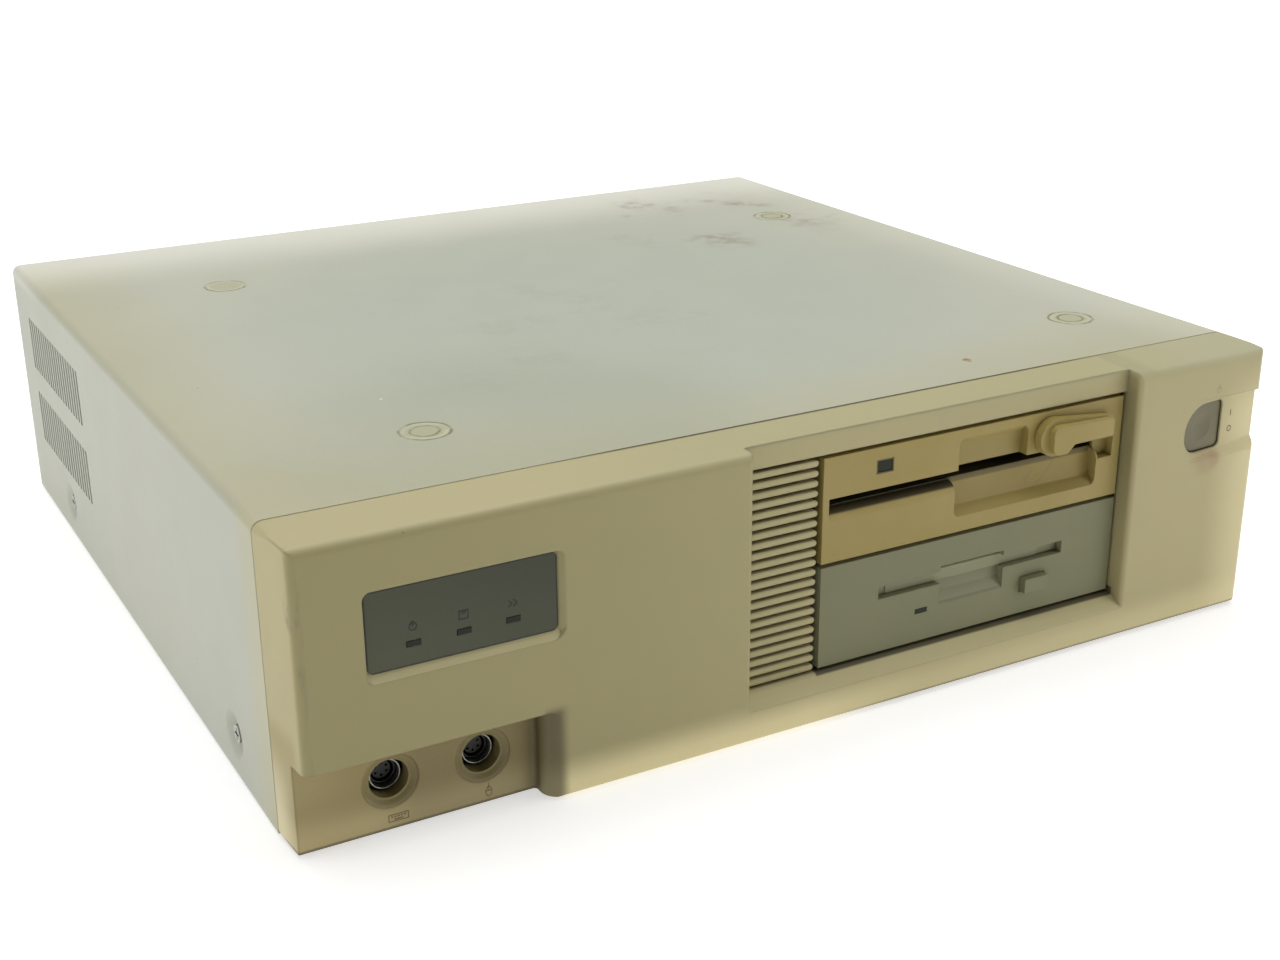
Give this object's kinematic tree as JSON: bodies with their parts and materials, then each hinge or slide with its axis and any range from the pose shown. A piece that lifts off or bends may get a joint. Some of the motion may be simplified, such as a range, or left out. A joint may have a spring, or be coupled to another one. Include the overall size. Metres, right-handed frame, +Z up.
{
  "type": "desktop computer",
  "caption": "Low desktop computer of about 1990: steel cover, moulded front with side bars, two diskette drives, lamps, front sockets, power button, fan and expansion cards.",
  "frame": {"origin": "middle of the width and depth, at the underside of the feet", "axes": "+X to the right seen from the front, +Y from the front to the rear, +Z up"},
  "size_m": [0.428, 0.4104, 0.117],
  "materials": {
    "cover_paint": "fine textured grey paint",
    "bezel_abs": "moulded ABS, aged to beige",
    "wide_plate_abs": "moulded ABS, yellowed",
    "small_plate_abs": "moulded ABS, grey",
    "button_grey": "moulded ABS, grey",
    "panel_film": "printed polycarbonate film",
    "lamp_lens": "tinted clear plastic, unlit",
    "galvanised_sheet": "zinc-plated sheet steel",
    "plated_steel": "nickel-plated steel",
    "cast_frame": "die-cast aluminium",
    "circuit_board": "glass epoxy board with green lacquer",
    "black_nylon": "black moulded nylon",
    "chip_epoxy": "black epoxy",
    "disk_casting": "dark painted casting",
    "foot_rubber": "matt rubber",
    "battery_sleeve": "shrink sleeve",
    "ribbon_pvc": "flat grey PVC cable"
  },
  "bodies": {
    "case": {"top_cover": "cover_paint", "cover_screws": "plated_steel", "front_bezel": "bezel_abs", "louvre_grille": "bezel_abs", "name_panel": "panel_film", "lamp_lenses": "lamp_lens", "lamp_board": "circuit_board", "chassis_tray": "galvanised_sheet", "rear_panel": "galvanised_sheet", "drive_cage": "galvanised_sheet", "feet": "foot_rubber", "socket_bay": "bezel_abs", "socket_wells": "bezel_abs", "port_board": "circuit_board", "keyboard_socket": "black_nylon", "mouse_socket": "black_nylon", "power_switch": "black_nylon", "switch_bracket": "galvanised_sheet", "speaker": "black_nylon", "hard_disk": "disk_casting", "disk_bracket": "galvanised_sheet", "psu_case": "galvanised_sheet", "psu_board": "circuit_board", "fan_frame": "black_nylon", "fan_guard": "plated_steel", "power_inlet": "black_nylon", "power_outlet": "black_nylon", "main_board": "circuit_board", "board_standoffs": "plated_steel", "board_chips": "chip_epoxy", "memory_modules": "circuit_board", "clock_battery": "battery_sleeve", "rear_ports": "plated_steel", "riser_card": "circuit_board", "card_sockets": "black_nylon", "display_card": "circuit_board", "port_card": "circuit_board", "card_brackets": "plated_steel", "slot_covers": "plated_steel", "slot_screws": "plated_steel", "wide_plate": "wide_plate_abs", "wide_frame": "cast_frame", "wide_board": "circuit_board", "wide_lamp": "lamp_lens", "wide_stepper": "cast_frame", "small_plate": "small_plate_abs", "small_body": "galvanised_sheet", "small_lamp": "lamp_lens", "drive_ribbon": "ribbon_pvc", "drive_screws": "plated_steel"},
    "power_button": {"power_button": "button_grey"},
    "fan_rotor": {"fan_rotor": "black_nylon"},
    "drive_lever": {"wide_lever": "wide_plate_abs"},
    "diskette_clamp": {"wide_clamp": "cast_frame"},
    "wide_spindle": {"wide_spindle": "cast_frame"},
    "wide_heads": {"wide_heads": "cast_frame"},
    "dust_flap": {"small_flap": "small_plate_abs"},
    "eject_button": {"small_button": "small_plate_abs"},
    "small_spindle": {"small_spindle": "cast_frame"},
    "small_heads": {"small_heads": "cast_frame"}
  },
  "joints": [
    {"name": "power_button_press", "type": "slide", "parent": "case", "child": "power_button", "axis": [0, 1, 0], "range_m": [0, 0.004], "stiffness_N_per_m": 300},
    {"name": "fan_spin", "type": "hinge", "parent": "case", "child": "fan_rotor", "pos_m": [0.1, 0.18405, 0.0457], "axis": [0, 1, 0], "continuous": true},
    {"name": "lever_turn", "type": "hinge", "parent": "case", "child": "drive_lever", "pos_m": [0.1029, -0.19775, 0.0955], "axis": [0, 1, 0], "range_deg": [0, 90]},
    {"name": "clamp_drop", "type": "slide", "parent": "case", "child": "diskette_clamp", "axis": [0, 0, 1], "range_m": [-0.003, 0]},
    {"name": "wide_spindle_spin", "type": "hinge", "parent": "case", "child": "wide_spindle", "pos_m": [0.0679, -0.11475, 0.0731], "axis": [0, 0, 1], "continuous": true},
    {"name": "wide_heads_step", "type": "slide", "parent": "case", "child": "wide_heads", "axis": [0, 1, 0], "range_m": [-0.004, 0.018]},
    {"name": "flap_swing", "type": "hinge", "parent": "case", "child": "dust_flap", "pos_m": [0.0679, -0.19435, 0.0472], "axis": [1, 0, 0], "range_deg": [0, 85], "stiffness_Nm_per_rad": 0.002},
    {"name": "eject_press", "type": "slide", "parent": "case", "child": "eject_button", "axis": [0, 1, 0], "range_m": [0, 0.003], "stiffness_N_per_m": 200},
    {"name": "small_spindle_spin", "type": "hinge", "parent": "case", "child": "small_spindle", "pos_m": [0.0679, -0.13275, 0.03], "axis": [0, 0, 1], "continuous": true},
    {"name": "small_heads_step", "type": "slide", "parent": "case", "child": "small_heads", "axis": [0, 1, 0], "range_m": [-0.004, 0.014]}
  ],
  "couplings": [
    {"joint": "lever_turn", "follows": "clamp_drop", "rad_per_m": -523.49}
  ]
}
